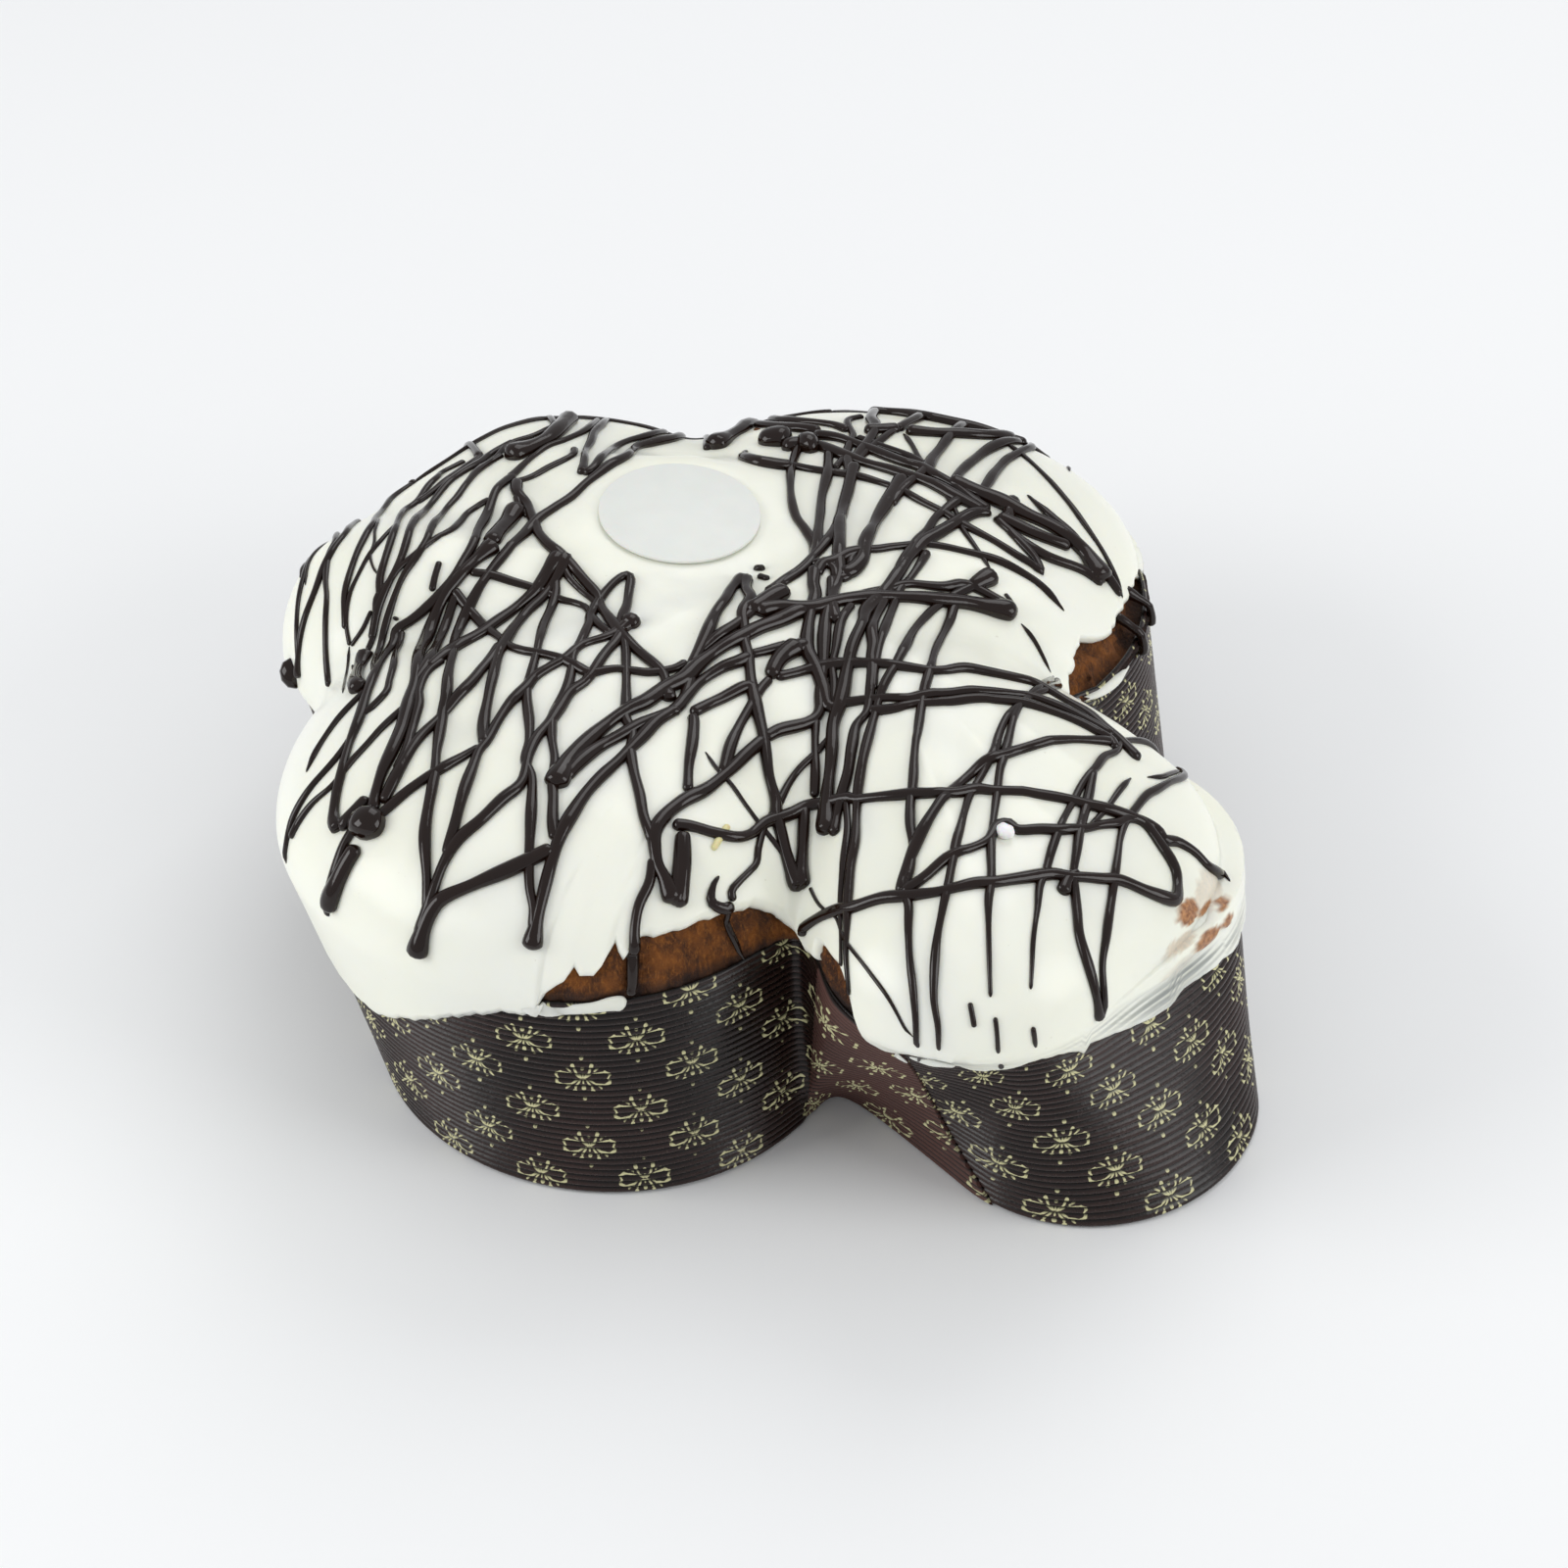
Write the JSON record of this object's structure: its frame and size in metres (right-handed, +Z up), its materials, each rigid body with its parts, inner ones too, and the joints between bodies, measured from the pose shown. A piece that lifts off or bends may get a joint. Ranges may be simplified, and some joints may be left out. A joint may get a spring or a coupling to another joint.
{
  "type": "colomba cake",
  "caption": "Dove-shaped festive cake in a corrugated brown paper case, with a domed top under white icing, dark chocolate drizzle and a small round wafer.",
  "frame": {"origin": "centre of the bounding box on the surface that the case stands on", "axes": "+X towards the head of the dove, -X towards its tail, -Y and +Y towards its wings, +Z up"},
  "size_m": [0.2922, 0.2748, 0.1079],
  "materials": {
    "case_paper": "dark brown corrugated baking paper with a slight sheen and a pale gold floral print",
    "crust": "matt baked crust, browner in its folds",
    "icing": "smooth white icing with a soft gloss",
    "drizzle": "glossy dark chocolate",
    "wafer": "smooth white wafer paper"
  },
  "bodies": {
    "root": {"paper_case": "case_paper", "loaf": "crust", "icing": "icing", "disc": "wafer"}
  },
  "joints": []
}
